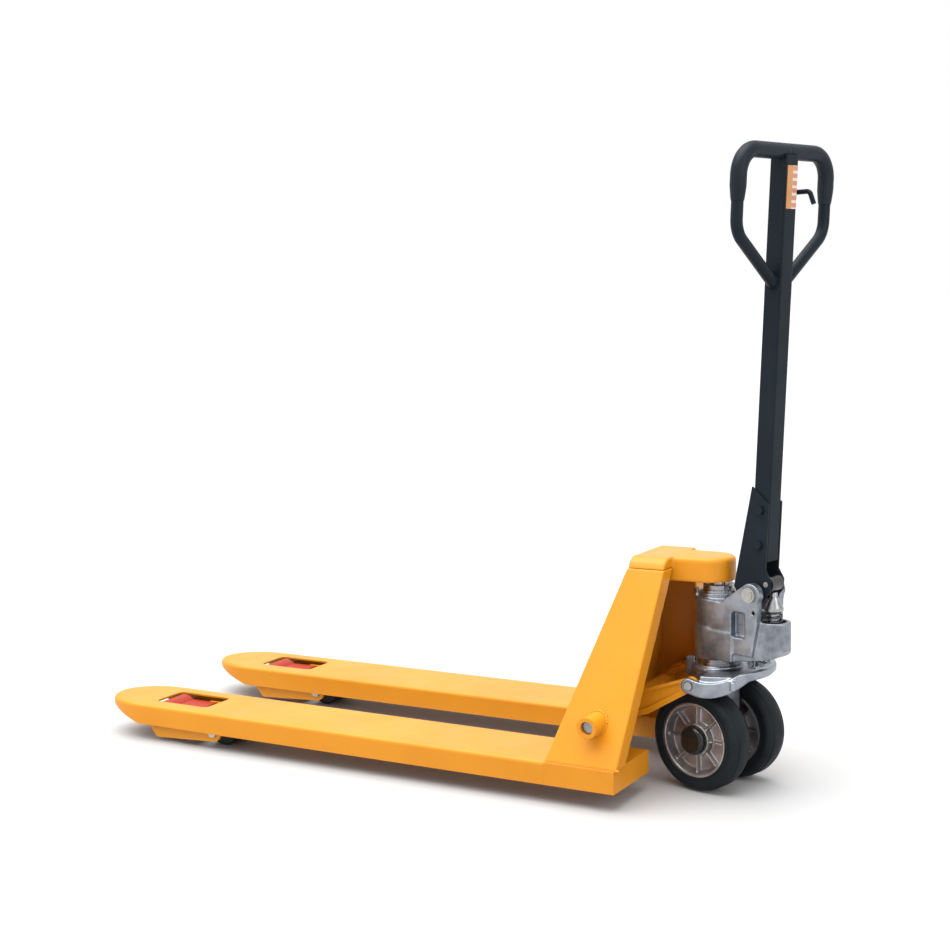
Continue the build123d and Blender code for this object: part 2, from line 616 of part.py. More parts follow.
keep("pump_housing", pump_housing.part, STEERED)

with BuildPart() as pump_collar:
    post(0, 0, CROWN_Z, CROWN_Z + 5, CROWN_R - 3)
    post(0, 0, CROWN_Z + 5, COLLAR_TOP, COLLAR_R)
    chamfer(pump_collar.edges().filter_by(GeomType.CIRCLE).sort_by(Axis.Z)[-1], 2)
    post(0, 0, CROWN_Z - 1, COLLAR_TOP + 1, RAM_R + 0.5, Mode.SUBTRACT)
keep("pump_collar", pump_collar.part, STEERED)

with BuildPart() as lift_ram:
    post(0, 0, PUMP_FLOOR + 12, HEAD_BOTTOM - RAM_GAP, RAM_R)
    chamfer(lift_ram.edges().filter_by(GeomType.CIRCLE).sort_by(Axis.Z)[-1], 2)
keep("lift_ram", lift_ram.part, STEERED)

with BuildPart() as thrust_bearing:
    post(0, 0, YOKE_HIGH + 0.3, YOKE_HIGH + 4.5, 42)
    post(0, 0, YOKE_HIGH + 4.5, PUMP_FLOOR - 4, 40)
    post(0, 0, PUMP_FLOOR - 4, PUMP_FLOOR, 38.5)
    post(0, 0, YOKE_HIGH, PUMP_FLOOR + 1, NECK_R, Mode.SUBTRACT)
keep("thrust_bearing", thrust_bearing.part, STEERED)

with BuildPart() as filler_plug:
    with Locations(Location((-36, -20, SHOULDER_Z), (0, 0, 0))):
        Cylinder(6.5, 6, align=(Align.CENTER, Align.CENTER, Align.MIN))
    with BuildSketch(Plane(origin=(-36, -20, SHOULDER_Z + 6))):
        RegularPolygon(8, 6)
    extrude(amount=9)
    post(0, 0, SHOULDER_Z - 1, COLLAR_TOP, CROWN_R, Mode.SUBTRACT)
keep("filler_plug", filler_plug.part, STEERED)

axle_half = WHEEL_INNER + WHEEL_WIDTH - 1
with BuildPart() as wheel_axle:
    rod(0, 0, WHEEL_R, AXLE_R, 2 * axle_half)
    chamfer(wheel_axle.edges().filter_by(GeomType.CIRCLE), 1)
keep("wheel_axle", wheel_axle.part, STEERED)

HUB_FACE = WHEEL_INNER + WHEEL_WIDTH - 6
with BuildPart() as axle_clips:
    for side in (-1, 1):
        rod(0, side * (FOOT + WHEEL_INNER) / 2, WHEEL_R, 15, WHEEL_INNER - FOOT - SIDE_PLAY)
        rod(0, side * (HUB_FACE + 1.75), WHEEL_R, 14, 2.5)
    rod(0, 0, WHEEL_R, AXLE_R, 200, Mode.SUBTRACT)
keep("axle_clips", axle_clips.part, STEERED)

with BuildPart() as handle_pivot_pin:
    rod(EAR_X, 0, EAR_Z, PIVOT_R, 2 * EAR_OUT + 2)
    for side in (-1, 1):
        rod(EAR_X, side * (EAR_OUT + 2.5), EAR_Z, 14, 5)
        rod(EAR_X, side * (EAR_OUT + 6), EAR_Z, PIVOT_R, 2)
keep("handle_pivot_pin", handle_pivot_pin.part, STEERED)

STUD_TOP = EAR_Z + ROLLER_Z * cos(radians(LEAN)) - ROLLER_X * sin(radians(LEAN)) - PRESS_R - PRESS_GAP
with BuildPart() as pump_plunger:
    post(PLUNGER_X, 0, BOSS_FLOOR - 1, CAP_Z, 11)
    post(PLUNGER_X, 0, CAP_Z - CAP_PLATE, CAP_Z, CAP_R)
    with Locations((PLUNGER_X, 0, CAP_Z)):
        Cone(CAP_R - 1, 8, 20, align=(Align.CENTER, Align.CENTER, Align.MIN))
    post(PLUNGER_X, 0, CAP_Z + 20, STUD_TOP, 6.5)
    fillet(pump_plunger.edges().filter_by(GeomType.CIRCLE).sort_by(Axis.Z)[-1], 2)
keep("pump_plunger", pump_plunger.part, STEERED)

SPRING_R, SPRING_WIRE = 15.0, 1.75
spring_low, spring_high = BOSS_FLOOR + SPRING_WIRE, CAP_Z - CAP_PLATE - SPRING_WIRE - 0.2
with BuildPart() as plunger_spring:
    with BuildLine():
        coil = Helix((spring_high - spring_low) / 6, spring_high - spring_low, SPRING_R)
    with BuildSketch(Plane(origin=coil @ 0, z_dir=coil % 0)):
        Circle(SPRING_WIRE)
    sweep()
keep("plunger_spring", plunger_spring.part, STEERED * Location((PLUNGER_X, 0, spring_low)))

with BuildPart() as release_lever:
    rod(RELEASE_X, 0, RELEASE_Z, RELEASE_R, 36)
    slab(
        [
            (RELEASE_X - 6, RELEASE_Z + 4),
            (RELEASE_X + 4, RELEASE_Z + 5),
            (RELEASE_X + 26, RELEASE_Z + 2),
            (RELEASE_X + 26, RELEASE_Z - 3),
            (RELEASE_X + 4, RELEASE_Z - 6),
            (RELEASE_X - 6, RELEASE_Z - 5),
        ],
        0,
        14,
    )
keep("release_lever", release_lever.part, STEERED)


# ================= steering wheels (pump frame) =================
def build_wheel(side):
    """Four pieces of one wheel, profiles drawn as radius against distance from the centre plane."""
    inner, outer = WHEEL_INNER, WHEEL_INNER + WHEEL_WIDTH
    middle = (inner + outer) / 2
    plane = Plane(origin=(0, 0, WHEEL_R), x_dir=(0, 0, 1), z_dir=(-side, 0, 0))
    axis = Axis((0, 0, WHEEL_R), (0, 1, 0))
    tyre_in = RIM_R + 3
    with BuildPart() as tyre:
        with BuildSketch(plane):
            with BuildLine():
                Polyline(
                    (tyre_in, inner),
                    (WHEEL_R - 9, inner),
                    (WHEEL_R - 1.5, inner + 5),
                    (WHEEL_R, inner + 11),
                    (WHEEL_R, outer - 11),
                    (WHEEL_R - 1.5, outer - 5),
                    (WHEEL_R - 9, outer),
                    (tyre_in, outer),
                    close=True,
                )
            make_face()
        revolve(axis=axis)
    with BuildPart() as rim:
        with BuildSketch(plane):
            with BuildLine():
                Polyline(
                    (BEARING_R, inner + 1),
                    (31, inner + 1),
                    (32, middle - 4),
                    (RIM_R - 8, middle - 3),
                    (RIM_R - 4, inner + 1),
                    (tyre_in, inner + 1),
                    (tyre_in, outer - 1),
                    (RIM_R - 3, outer - 1),
                    (RIM_R - 8, middle + 6),
                    (32, middle + 7),
                    (31, HUB_FACE),
                    (BEARING_R, HUB_FACE),
                    close=True,
                )
            make_face()
        revolve(axis=axis)
        with Locations(Location((0, side * (middle + 9), WHEEL_R), (90, 0, 0))):
            with PolarLocations(49, 8):
                Box(38, 4, 18)
        with Locations(Location((0, side * (middle - 8), WHEEL_R), (90, 0, 0))):
            with PolarLocations(49, 8):
                Box(38, 4, 16)
    with BuildPart() as bearings:
        for seat in (inner + 1 + BEARING_WIDTH / 2, HUB_FACE - BEARING_WIDTH / 2):
            rod(0, side * seat, WHEEL_R, BEARING_R, BEARING_WIDTH)
        rod(0, side * middle, WHEEL_R, AXLE_R + RUN, 2 * WHEEL_WIDTH, Mode.SUBTRACT)
    with BuildPart() as hub_cap:
        rod(0, side * (HUB_FACE + 7.5), WHEEL_R, 28, 15)
        crown = hub_cap.faces().sort_by(Axis.Y)[-1 if side > 0 else 0]
        fillet(crown.edges(), 9)
        rod(0, side * (HUB_FACE + 5), WHEEL_R, 24.5, 12, Mode.SUBTRACT)
    return tyre.part, rim.part, bearings.part, hub_cap.part


for name, side in SIDES.items():
    for label, piece in zip(("tyre", "rim", "wheel_bearings", "hub_cap"), build_wheel(side)):
        keep(f"{label}_{name}", piece, STEERED)

# ================= handle (handle frame: origin on the pivot, Z up the tube) =================
HANDLE = STEERED * Location((EAR_X, 0, EAR_Z), (0, LEAN, 0))
half_tube = TUBE_Y / 2

with BuildPart() as handle_fork:
    for side in (-1, 1):
        y = side * (half_tube + CHEEK_PLATE / 2)
        slab([(-50, 6), (-40, -8), (-14, -16), (14, -16), (31, 8), (31, 28), (18, 46), (18, 172), (-20, 200)], y,
             CHEEK_PLATE)
        rod(0, y, 0, 16, CHEEK_PLATE)
        rod(0, y, 0, PIVOT_R + RUN, CHEEK_PLATE + 2, Mode.SUBTRACT)
        rod(ROLLER_X, y, ROLLER_Z, 5, CHEEK_PLATE + 2, Mode.SUBTRACT)
        for spot in (92, 158):
            rod(0, y, spot, 5, CHEEK_PLATE + 2, Mode.SUBTRACT)
    with BuildSketch(side_plane(0)):
        with BuildLine():
            Polyline((-22.5, 100), (-18.7, 100), (-18.7, 166), (-22.5, 172), close=True)
        make_face()
    extrude(amount=half_tube, both=True)
keep("handle_fork", handle_fork.part, HANDLE)

with BuildPart() as handle_tube:
    with Locations((0, 0, TUBE_FOOT)):
        Box(TUBE_X, TUBE_Y, TUBE_HEAD - TUBE_FOOT, align=(Align.CENTER, Align.CENTER, Align.MIN))
    fillet(handle_tube.edges().filter_by(Axis.Z), 3.5)
    block(-TUBE_X / 2 + TUBE_WALL, TUBE_X / 2 - TUBE_WALL, -half_tube + TUBE_WALL, half_tube - TUBE_WALL,
          TUBE_FOOT - 1, TOP_BAR + 1, Mode.SUBTRACT)
    rod(0, 0, TOP_BAR, LOOP_R, TUBE_Y + 2, Mode.SUBTRACT)
    for spot in (92, 158):
        rod(0, 0, spot, 5, TUBE_Y + 2, Mode.SUBTRACT)
    rod(0, 0, LEVER_Z, 5, TUBE_Y + 2, Mode.SUBTRACT)
keep("handle_tube", handle_tube.part, HANDLE)


def loop_path():
    return FilletPolyline(
        (0, half_tube - 6, LOOP_ROOT - 10),
        (0, LOOP_HALF, LOOP_BEND),
        (0, LOOP_HALF, TOP_BAR),
        (0, -LOOP_HALF, TOP_BAR),
        (0, -LOOP_HALF, LOOP_BEND),
        (0, 6 - half_tube, LOOP_ROOT - 10),
        radius=LOOP_CORNER,
    )


with BuildPart() as handle_loop:
    with BuildLine():
        path = loop_path()
    with BuildSketch(Plane(origin=path @ 0, z_dir=path % 0)):
        Circle(LOOP_R)
        Circle(LOOP_R - LOOP_WALL, mode=Mode.SUBTRACT)
    sweep()
    block(-TUBE_X / 2, TUBE_X / 2, -half_tube, half_tube, TUBE_FOOT, TOP_BAR - LOOP_R - 40, Mode.SUBTRACT)
keep("handle_loop", handle_loop.part, HANDLE)

for name, side in SIDES.items():
    with BuildPart() as grip:
        with BuildLine():
            grip_path = FilletPolyline(
                (0, side * GRIP_SPLIT, TOP_BAR),
                (0, side * LOOP_HALF, TOP_BAR),
                (0, side * LOOP_HALF, GRIP_END),
                radius=LOOP_CORNER,
            )
        with BuildSketch(Plane(origin=grip_path @ 0, z_dir=grip_path % 0)):
            Circle(GRIP_R)
            Circle(LOOP_R, mode=Mode.SUBTRACT)
        sweep()
        block(-TUBE_X, TUBE_X, -half_tube, half_tube, TOP_BAR - 40, TUBE_HEAD, Mode.SUBTRACT)
    keep(f"grip_{name}", grip.part, HANDLE)

with BuildPart() as label_plate:
    block(TUBE_X / 2, TUBE_X / 2 + 1.2, -half_tube + 3.6, half_tube - 3.6, LABEL_LOW, LABEL_HIGH)
    fillet(label_plate.edges().filter_by(Axis.X), 2)
keep("label_plate", label_plate.part, HANDLE)

with BuildPart() as roller_pin:
    rod(ROLLER_X, 0, ROLLER_Z, 5, TUBE_Y + 2 * CHEEK_PLATE)
keep("roller_pin", roller_pin.part, HANDLE)

with BuildPart() as pressure_roller:
    rod(ROLLER_X, 0, ROLLER_Z, PRESS_R, PRESS_WIDTH)
    fillet(pressure_roller.edges().filter_by(GeomType.CIRCLE), 2)
    rod(ROLLER_X, 0, ROLLER_Z, 5 + RUN, PRESS_WIDTH + 2, Mode.SUBTRACT)
keep("pressure_roller", pressure_roller.part, HANDLE)

with BuildPart() as handle_bolts:
    for spot in (92, 158):
        rod(0, 0, spot, 5, TUBE_Y + 2 * CHEEK_PLATE)
        for side in (-1, 1):
            face = Plane(origin=(0, side * (half_tube + CHEEK_PLATE), spot), x_dir=(1, 0, 0), z_dir=(0, side, 0))
            with BuildSketch(face):
                RegularPolygon(9, 6)
            extrude(amount=6)
keep("handle_bolts", handle_bolts.part, HANDLE)

with BuildPart() as control_rod:
    post(-8, 0, 40, LEVER_Z - 26, 2.5)
keep("control_rod", control_rod.part, HANDLE)

LEVER_Y = half_tube + 6.5
with BuildPart() as control_lever:
    rod(0, (LEVER_Y - half_tube) / 2, LEVER_Z, 5 - RUN, TUBE_Y + LEVER_Y - half_tube)
    with BuildLine():
        lever_path = FilletPolyline(
            (-6, LEVER_Y, LEVER_Z),
            (40, LEVER_Y, LEVER_Z + 3),
            (50, LEVER_Y, LEVER_Z - 19),
            radius=9,
        )
    with BuildSketch(Plane(origin=lever_path @ 0, z_dir=lever_path % 0)):
        Circle(4.5)
    sweep()
    rod(0, LEVER_Y, LEVER_Z, 11, 9)
keep("control_lever", control_lever.part, HANDLE)

# ================= export in the shared frame =================
low = min(piece.bounding_box().min.X for label, piece in pieces)
high = max(piece.bounding_box().max.X for label, piece in pieces)
SHIFT = (low + high) / 2
for label, piece in pieces:
    placed = piece.moved(Location((-SHIFT, 0, 0)))
    placed.label = label
    export_step(placed, f"parts/{label}.step")
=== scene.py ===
import json
import math
import bpy
import bmesh
from mathutils import Matrix, Vector


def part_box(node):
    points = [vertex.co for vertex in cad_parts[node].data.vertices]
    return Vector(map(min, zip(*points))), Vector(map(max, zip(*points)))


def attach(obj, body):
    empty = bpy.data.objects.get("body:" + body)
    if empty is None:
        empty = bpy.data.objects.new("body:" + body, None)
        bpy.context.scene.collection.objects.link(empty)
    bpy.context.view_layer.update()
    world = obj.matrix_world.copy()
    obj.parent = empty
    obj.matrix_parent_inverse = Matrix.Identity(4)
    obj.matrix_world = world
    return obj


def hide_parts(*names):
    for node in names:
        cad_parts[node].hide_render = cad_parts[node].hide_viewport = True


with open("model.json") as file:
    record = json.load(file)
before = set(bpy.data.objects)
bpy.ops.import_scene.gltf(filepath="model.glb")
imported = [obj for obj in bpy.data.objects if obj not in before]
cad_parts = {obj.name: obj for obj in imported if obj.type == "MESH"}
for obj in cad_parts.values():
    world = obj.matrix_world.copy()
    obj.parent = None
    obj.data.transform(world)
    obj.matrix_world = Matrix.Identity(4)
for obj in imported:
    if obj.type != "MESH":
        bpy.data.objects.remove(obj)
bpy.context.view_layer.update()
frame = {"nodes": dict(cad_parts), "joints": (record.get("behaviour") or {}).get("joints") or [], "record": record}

nodes = frame["nodes"]
record = frame["record"]
joints = {j["name"]: j for j in frame["joints"]}
scene = bpy.context.scene


# ---------- camera ----------
YAW, PITCH, ROLL = math.radians(29.758), math.radians(6.614), math.radians(-1.157)
forward = Vector((-math.sin(YAW) * math.cos(PITCH), math.cos(YAW) * math.cos(PITCH), -math.sin(PITCH)))
level = Vector((math.cos(YAW), math.sin(YAW), 0.0))
upward = level.cross(forward)
right = level * math.cos(ROLL) + upward * math.sin(ROLL)
top = -level * math.sin(ROLL) + upward * math.cos(ROLL)
steer_x = joints["steer"]["pos_m"][0]
place = Vector((steer_x + 1.1018, -2.865, 0.9635))
lens = bpy.data.cameras.new("camera")
lens.sensor_width = 36.0
lens.lens = 60.6
camera = bpy.data.objects.new("camera", lens)
scene.collection.objects.link(camera)
camera.matrix_world = Matrix(
    (
        (right.x, top.x, -forward.x, place.x),
        (right.y, top.y, -forward.y, place.y),
        (right.z, top.z, -forward.z, place.z),
        (0, 0, 0, 1),
    )
)
scene.camera = camera


# ---------- floor and light ----------
floor_mesh = bpy.data.meshes.new("floor")
FLOOR_HALF, FLOOR_Z = 90, -0.001
floor_corners = [(x * FLOOR_HALF, y * FLOOR_HALF, FLOOR_Z) for x, y in ((-1, -1), (1, -1), (1, 1), (-1, 1))]
floor_mesh.from_pydata(floor_corners, [], [(0, 1, 2, 3)])
floor = bpy.data.objects.new("floor", floor_mesh)
scene.collection.objects.link(floor)


def lamp(name, at, aim, size, power):
    light = bpy.data.lights.new(name, "AREA")
    light.shape = "RECTANGLE"
    light.size, light.size_y = size
    light.energy = power
    holder = bpy.data.objects.new(name, light)
    scene.collection.objects.link(holder)
    holder.location = at
    holder.rotation_euler = (Vector(aim) - Vector(at)).to_track_quat("-Z", "Y").to_euler()


overhead = bpy.data.lights.new("overhead", "SUN")
overhead.energy = 5.2
overhead.angle = math.radians(70)
holder = bpy.data.objects.new("overhead", overhead)
scene.collection.objects.link(holder)
holder.rotation_euler = (math.radians(8), math.radians(-10), 0)
lamp("fill_left", (-2.2, -3.0, 1.6), (0.1, 0, 0.3), (2.4, 1.6), 12)
lamp("fill_right", (3.2, -1.0, 1.7), (0.4, 0, 0.5), (1.4, 2.2), 24)
world = bpy.data.worlds.new("studio")
scene.world = world
world.use_nodes = True
world.node_tree.nodes["Background"].inputs[0].default_value = (1.0, 1.0, 1.0, 1)
world.node_tree.nodes["Background"].inputs[1].default_value = 1.0
scene.view_settings.view_transform = "Standard"


# ---------- materials ----------
class Graph:
    """Small helper to wire a node material."""

    def __init__(self, name):
        self.material = bpy.data.materials.new(name)
        self.material.use_nodes = True
        self.tree = self.material.node_tree
        self.bsdf = self.tree.nodes["Principled BSDF"]
        self.coords = self.add("ShaderNodeTexCoord").outputs["Object"]

    def add(self, kind, **values):
        node = self.tree.nodes.new(kind)
        for key, value in values.items():
            setattr(node, key, value)
        return node

    def link(self, out, into):
        self.tree.links.new(out, into)

    def noise(self, scale, detail=4.0, rough=0.55, stretch=None):
        node = self.add("ShaderNodeTexNoise")
        node.inputs["Scale"].default_value = scale
        node.inputs["Detail"].default_value = detail
        node.inputs["Roughness"].default_value = rough
        if stretch:
            mapping = self.add("ShaderNodeMapping")
            mapping.inputs["Scale"].default_value = stretch
            self.link(self.coords, mapping.inputs["Vector"])
            self.link(mapping.outputs["Vector"], node.inputs["Vector"])
        else:
            self.link(self.coords, node.inputs["Vector"])
        return node.outputs["Fac"]

    def ramp(self, fac, *stops):
        node = self.add("ShaderNodeValToRGB")
        elements = node.color_ramp.elements
        while len(elements) < len(stops):
            elements.new(0.5)
        for element, (at, colour) in zip(elements, stops):
            element.position = at
            element.color = colour if len(colour) == 4 else (*colour, 1)
        self.link(fac, node.inputs["Fac"])
        return node.outputs["Color"]

    def span(self, fac, low, high, start=0.0, end=1.0):
        node = self.add("ShaderNodeMapRange")
        node.inputs["From Min"].default_value = low
        node.inputs["From Max"].default_value = high
        node.inputs["To Min"].default_value = start
        node.inputs["To Max"].default_value = end
        self.link(fac, node.inputs["Value"])
        return node.outputs["Result"]

    def mix(self, fac, a, b):
        node = self.add("ShaderNodeMix", data_type="RGBA")
        self.link(fac, node.inputs[0])
        for socket, value in ((node.inputs[6], a), (node.inputs[7], b)):
            if isinstance(value, tuple):
                socket.default_value = (*value, 1)
            else:
                self.link(value, socket)
        return node.outputs[2]

    def bump(self, height, strength, distance, into=None):
        node = self.add("ShaderNodeBump")
        node.inputs["Strength"].default_value = strength
        node.inputs["Distance"].default_value = distance
        self.link(height, node.inputs["Height"])
        if into is not None:
            self.link(into, node.inputs["Normal"])
        return node.outputs["Normal"]

    def soft_edges(self, radius):
        node = self.add("ShaderNodeBevel")
        node.samples = 4
        node.inputs["Radius"].default_value = radius
        return node.outputs["Normal"]

    def edge_mask(self, radius, low=0.02, high=0.12):
        """1 on convex and concave edges, from how far the softened normal leaves the flat one."""
        soft = self.add("ShaderNodeBevel")
        soft.samples = 4
        soft.inputs["Radius"].default_value = radius
        geometry = self.add("ShaderNodeNewGeometry")
        dot = self.add("ShaderNodeVectorMath", operation="DOT_PRODUCT")
        self.link(soft.outputs["Normal"], dot.inputs[0])
        self.link(geometry.outputs["Normal"], dot.inputs[1])
        return self.span(dot.outputs["Value"], 1.0 - low, 1.0 - high)

    def both(self, a, b):
        node = self.add("ShaderNodeMath", operation="MULTIPLY")
        self.link(a, node.inputs[0])
        self.link(b, node.inputs[1])
        return node.outputs[0]


def painted(
    name, base, worn, peel=1.0, roughness=(0.28, 0.42), under=(0.42, 0.40, 0.38), coat=0.25, gloss=0.5
):
    g = Graph(name)
    tone = g.ramp(g.noise(5.0, 5.0), (0.35, base), (0.75, worn))
    chips = g.both(g.edge_mask(0.0012), g.span(g.noise(70.0, 6.0, 0.7), 0.60, 0.66))
    specks = g.span(g.noise(220.0, 3.0, 0.6), 0.735, 0.75, 0.0, 0.6)
    colour = g.mix(chips, tone, under)
    colour = g.mix(specks, colour, tuple(c * 0.45 for c in base))
    g.link(colour, g.bsdf.inputs["Base Color"])
    g.link(g.span(g.noise(14.0, 6.0), 0.3, 0.7, *roughness), g.bsdf.inputs["Roughness"])
    g.bsdf.inputs["Specular IOR Level"].default_value = gloss
    g.bsdf.inputs["Coat Weight"].default_value = coat
    g.bsdf.inputs["Coat Roughness"].default_value = 0.22
    fine = g.bump(g.noise(900.0, 2.0), 0.12 * peel, 0.0002, g.soft_edges(0.0014))
    g.link(g.bump(g.noise(28.0, 3.0), 0.10 * peel, 0.0008, fine), g.bsdf.inputs["Normal"])
    return g.material


def metal(name, base, dark, roughness, grain=600.0, depth=0.15, stretch=None, metallic=1.0, edge=0.0007):
    g = Graph(name)
    # Blotchy darker tone: random stains, and on the casting also a painted reflection contrast in place of the lit
    # and shaded streaks.
    stain_and_painted_reflection = g.noise(24.0, 6.0, 0.65)
    g.link(g.ramp(stain_and_painted_reflection, (0.3, dark), (0.62, base)), g.bsdf.inputs["Base Color"])
    g.bsdf.inputs["Metallic"].default_value = metallic
    g.link(g.span(g.noise(60.0, 5.0), 0.3, 0.7, *roughness), g.bsdf.inputs["Roughness"])
    g.link(g.bump(g.noise(grain, 4.0, 0.6, stretch), depth, 0.0003, g.soft_edges(edge)), g.bsdf.inputs["Normal"])
    return g.material


def plastic(name, base, dusty, roughness, grain=1200.0, depth=0.2, gloss=0.25):
    g = Graph(name)
    g.bsdf.inputs["Specular IOR Level"].default_value = gloss
    g.link(g.ramp(g.noise(18.0, 6.0, 0.6), (0.35, base), (0.8, dusty)), g.bsdf.inputs["Base Color"])
    g.link(g.span(g.noise(40.0, 5.0), 0.3, 0.7, *roughness), g.bsdf.inputs["Roughness"])
    g.link(g.bump(g.noise(grain, 3.0), depth, 0.0002, g.soft_edges(0.0008)), g.bsdf.inputs["Normal"])
    return g.material


def label_material():
    """Blank two-tone plate: an orange field, a pale strip and plain blocks, no lettering."""
    g = Graph("label")
    generated = g.tree.nodes["Texture Coordinate"].outputs["Generated"]
    split = g.add("ShaderNodeSeparateXYZ")
    g.link(generated, split.inputs[0])
    strip = g.span(split.outputs["Y"], 0.50, 0.52)
    bands = g.add("ShaderNodeMath", operation="PINGPONG")
    bands.inputs[1].default_value = 0.085
    g.link(split.outputs["Z"], bands.inputs[0])
    blocks = g.both(g.span(bands.outputs[0], 0.030, 0.034), strip)
    base = g.mix(strip, (0.46, 0.22, 0.075), (0.60, 0.52, 0.47))
    g.link(g.mix(blocks, base, (0.48, 0.20, 0.13)), g.bsdf.inputs["Base Color"])
    g.link(g.span(g.noise(60.0, 4.0), 0.3, 0.7, 0.35, 0.5), g.bsdf.inputs["Roughness"])
    g.link(g.bump(g.noise(300.0, 3.0), 0.1, 0.0002), g.bsdf.inputs["Normal"])
    return g.material


looks = {
    "yellow": painted("yellow", (0.60, 0.232, 0.009), (0.54, 0.196, 0.007), coat=0.04, gloss=0.25),
    # Casting: the dark end of its blotches is partly painted reflection, darker patches standing in for the streaks
    # the metal reflects.
    "casting": metal("casting", (0.32, 0.345, 0.385), (0.13, 0.145, 0.17), (0.28, 0.46), 420.0, 0.45, metallic=0.9),
    "black_paint": painted(
        "black_paint", (0.006, 0.010, 0.015), (0.010, 0.016, 0.022), 0.8, (0.32, 0.44), (0.12, 0.12, 0.12), 0.0, 0.10
    ),
    "grip": plastic("grip", (0.008, 0.012, 0.018), (0.014, 0.019, 0.027), (0.38, 0.50), gloss=0.14),
    "zinc": metal("zinc", (0.48, 0.47, 0.44), (0.32, 0.32, 0.30), (0.24, 0.4), 800.0, 0.1),
    "steel": metal("steel", (0.40, 0.40, 0.41), (0.24, 0.24, 0.25), (0.2, 0.34), 500.0, 0.12, (1, 1, 14)),
    "chrome": metal("chrome", (0.78, 0.78, 0.78), (0.66, 0.66, 0.67), (0.06, 0.14), 900.0, 0.03),
    "rim": metal("rim", (0.46, 0.435, 0.43), (0.22, 0.20, 0.196), (0.3, 0.48), 380.0, 0.4, metallic=0.9),
    "tyre": plastic("tyre", (0.006, 0.009, 0.011), (0.013, 0.017, 0.020), (0.40, 0.60), 700.0, 0.35, 0.12),
    "roller": plastic("roller", (0.010, 0.010, 0.011), (0.022, 0.022, 0.023), (0.35, 0.5)),
    "cap": plastic("cap", (0.005, 0.006, 0.006), (0.009, 0.010, 0.010), (0.16, 0.26), 1500.0, 0.06, 0.4),
    "guard": painted(
        "guard", (0.32, 0.022, 0.012), (0.26, 0.045, 0.018), 1.0, (0.35, 0.5), (0.30, 0.25, 0.22), 0.0, 0.2
    ),
    # Darker steel: painted shade for the shadow that falls between the pump cheeks.
    "painted_shade_steel": metal("painted_shade_steel", (0.10, 0.10, 0.105), (0.05, 0.05, 0.052), (0.25, 0.4), 500.0, 0.12),
    "label": label_material(),
}

slots = {entry["node"]: entry["material_slot"] for entry in record["subparts"]}
for name, part in nodes.items():
    part.data.materials.clear()
    # Painted shade: the pressure roller and the plunger spring get the darker steel for the shadow on the roller
    # between the pump cheeks.
    part.data.materials.append(looks["painted_shade_steel" if name in ("pressure_roller", "plunger_spring") else slots[name]])


# ---------- frames of the steered unit and of the handle ----------
across = Vector(joints["handle_pump"]["axis"]).normalized()
along = Vector((across.y, -across.x, 0.0))
pivot = Vector(joints["handle_pump"]["pos_m"])
LEAN = math.radians(3.3)


def from_axes(x, y, z, at):
    return Matrix(((x.x, y.x, z.x, at.x), (x.y, y.y, z.y, at.y), (x.z, y.z, z.z, at.z), (0, 0, 0, 1)))


PUMP = from_axes(along, across, Vector((0, 0, 1)), Vector((steer_x, 0, 0)))
HANDLE = from_axes(along, across, Vector((0, 0, 1)), pivot) @ Matrix.Rotation(LEAN, 4, "Y")


def new_piece(name, mesh, body, slot, *replaced):
    mesh.materials.clear()
    mesh.materials.append(looks[slot])
    for face in mesh.polygons:
        face.use_smooth = len(face.vertices) < 12
    piece = bpy.data.objects.new(name, mesh)
    scene.collection.objects.link(piece)
    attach(piece, body)
    if replaced:
        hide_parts(*replaced)
    return piece


def softened(mesh, voxel, rounds, factor=0.5):
    """The same solid with its edges run together, as a casting has them."""
    work = bpy.data.objects.new("work", mesh)
    scene.collection.objects.link(work)
    remesh = work.modifiers.new("remesh", "REMESH")
    remesh.mode = "VOXEL"
    remesh.voxel_size = voxel
    smooth = work.modifiers.new("smooth", "SMOOTH")
    smooth.iterations = rounds
    smooth.factor = factor
    bpy.context.view_layer.update()
    result = bpy.data.meshes.new_from_object(work.evaluated_get(bpy.context.evaluated_depsgraph_get()))
    bpy.data.objects.remove(work)
    return result


def casting(node, slot, body, voxel, rounds):
    mesh = softened(nodes[node].data.copy(), voxel, rounds)
    return new_piece(node + "_cast", mesh, body, slot, node)


def lathe(profile, centre, axis, steps=120):
    """Mesh of a closed (radius, offset) profile turned about the axis through centre."""
    axis = Vector(axis).normalized()
    side = axis.orthogonal().normalized()
    other = axis.cross(side)
    verts, faces = [], []
    count = len(profile)
    for step in range(steps):
        angle = 2 * math.pi * step / steps
        spoke = side * math.cos(angle) + other * math.sin(angle)
        for radius, offset in profile:
            verts.append(tuple(Vector(centre) + axis * offset + spoke * radius))
    for step in range(steps):
        after = (step + 1) % steps
        for i in range(count):
            j = (i + 1) % count
            faces.append((step * count + i, step * count + j, after * count + j, after * count + i))
    mesh = bpy.data.meshes.new("lathe")
    mesh.from_pydata(verts, [], faces)
    mesh.validate()
    work = bmesh.new()
    work.from_mesh(mesh)
    bmesh.ops.recalc_face_normals(work, faces=work.faces)
    work.to_mesh(mesh)
    work.free()
    return mesh


